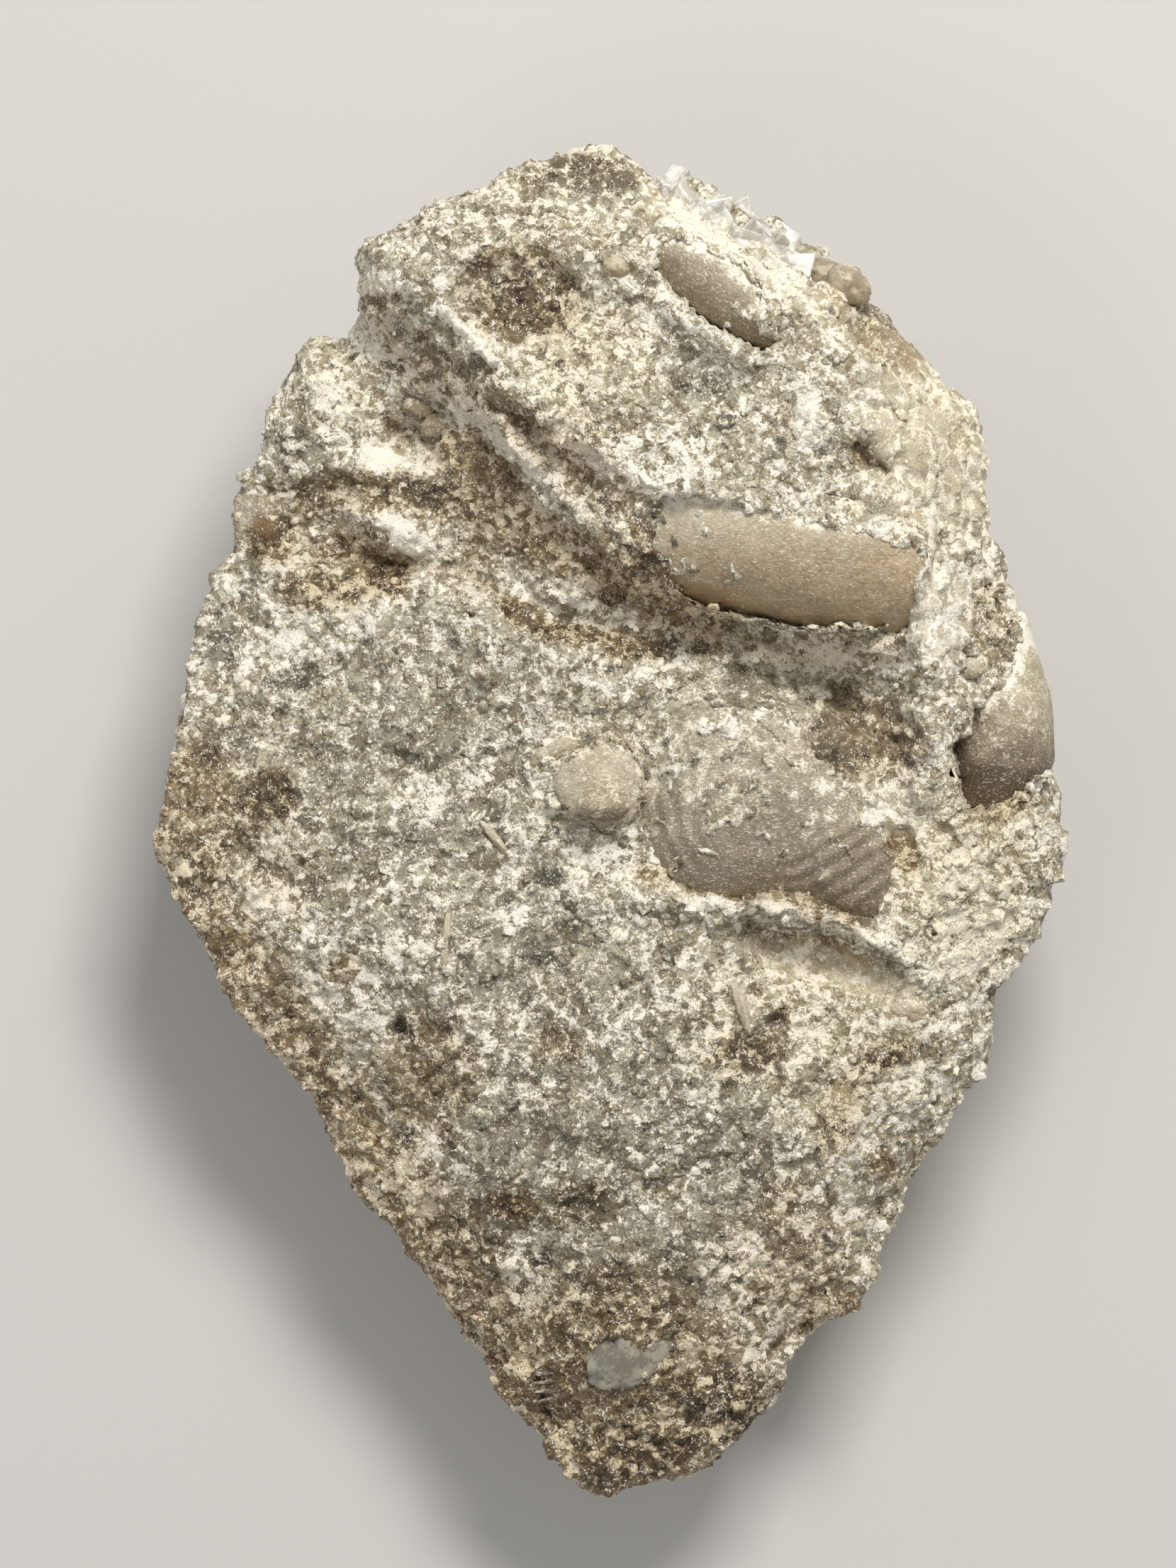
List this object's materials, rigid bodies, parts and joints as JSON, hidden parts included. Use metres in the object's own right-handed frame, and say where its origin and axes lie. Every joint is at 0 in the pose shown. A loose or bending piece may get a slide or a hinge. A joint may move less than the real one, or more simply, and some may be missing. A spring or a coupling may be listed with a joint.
{
  "type": "trilobite fossil",
  "caption": "Rough wedge of shelly limestone lying flat, with a ribbed trilobite tail shield and smooth rod-like fossil pieces standing up from its face.",
  "frame": {"origin": "middle of the bounding box in X and Y, on the surface that the stone rests on", "axes": "+Z up out of the fossil face, +Y towards the wide end's top corner, +X to the right when the fossil face is looked at with +Y up"},
  "size_m": [0.0536, 0.08, 0.023],
  "materials": {
    "limestone": "rough, sugary calcite grains"
  },
  "bodies": {
    "root": {"fossil_stone": "limestone"}
  },
  "joints": []
}
